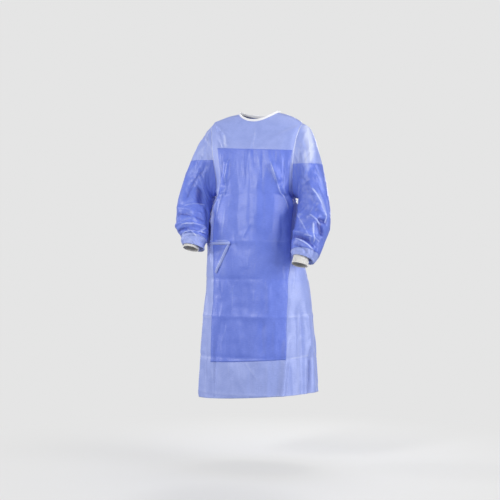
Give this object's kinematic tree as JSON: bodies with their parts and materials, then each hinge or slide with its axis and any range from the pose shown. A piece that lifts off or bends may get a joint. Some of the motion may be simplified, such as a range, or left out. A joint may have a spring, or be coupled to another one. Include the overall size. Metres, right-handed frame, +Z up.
{
  "type": "surgical gown",
  "caption": "Wrap-over surgical gown in its hollow worn form, with reinforced front and sleeves, knit cuffs, neck binding and waist belt.",
  "frame": {"origin": "between the shoulders, level with the sides of the neck, where the wearer holds the gown up", "axes": "+Z up, -Y the way the gown faces, +X the wearer's left"},
  "size_m": [0.6662, 0.3624, 1.1998],
  "materials": {
    "base_cloth": "matt nonwoven",
    "reinforced_cloth": "slightly glossy laminated nonwoven",
    "knit_cuff": "soft rib knit",
    "neck_tape": "matt tape",
    "belt_cloth": "matt nonwoven"
  },
  "bodies": {
    "root": {"front": "base_cloth", "back_left": "base_cloth", "back_right": "base_cloth", "sleeve_left": "base_cloth", "sleeve_right": "base_cloth", "front_reinforcement": "reinforced_cloth", "sleeve_reinforcement_left": "reinforced_cloth", "sleeve_reinforcement_right": "reinforced_cloth", "cuff_left": "knit_cuff", "cuff_right": "knit_cuff", "neck_binding": "neck_tape", "neck_tab": "neck_tape", "belt": "belt_cloth", "belt_knot": "belt_cloth", "belt_end": "belt_cloth"}
  },
  "joints": []
}
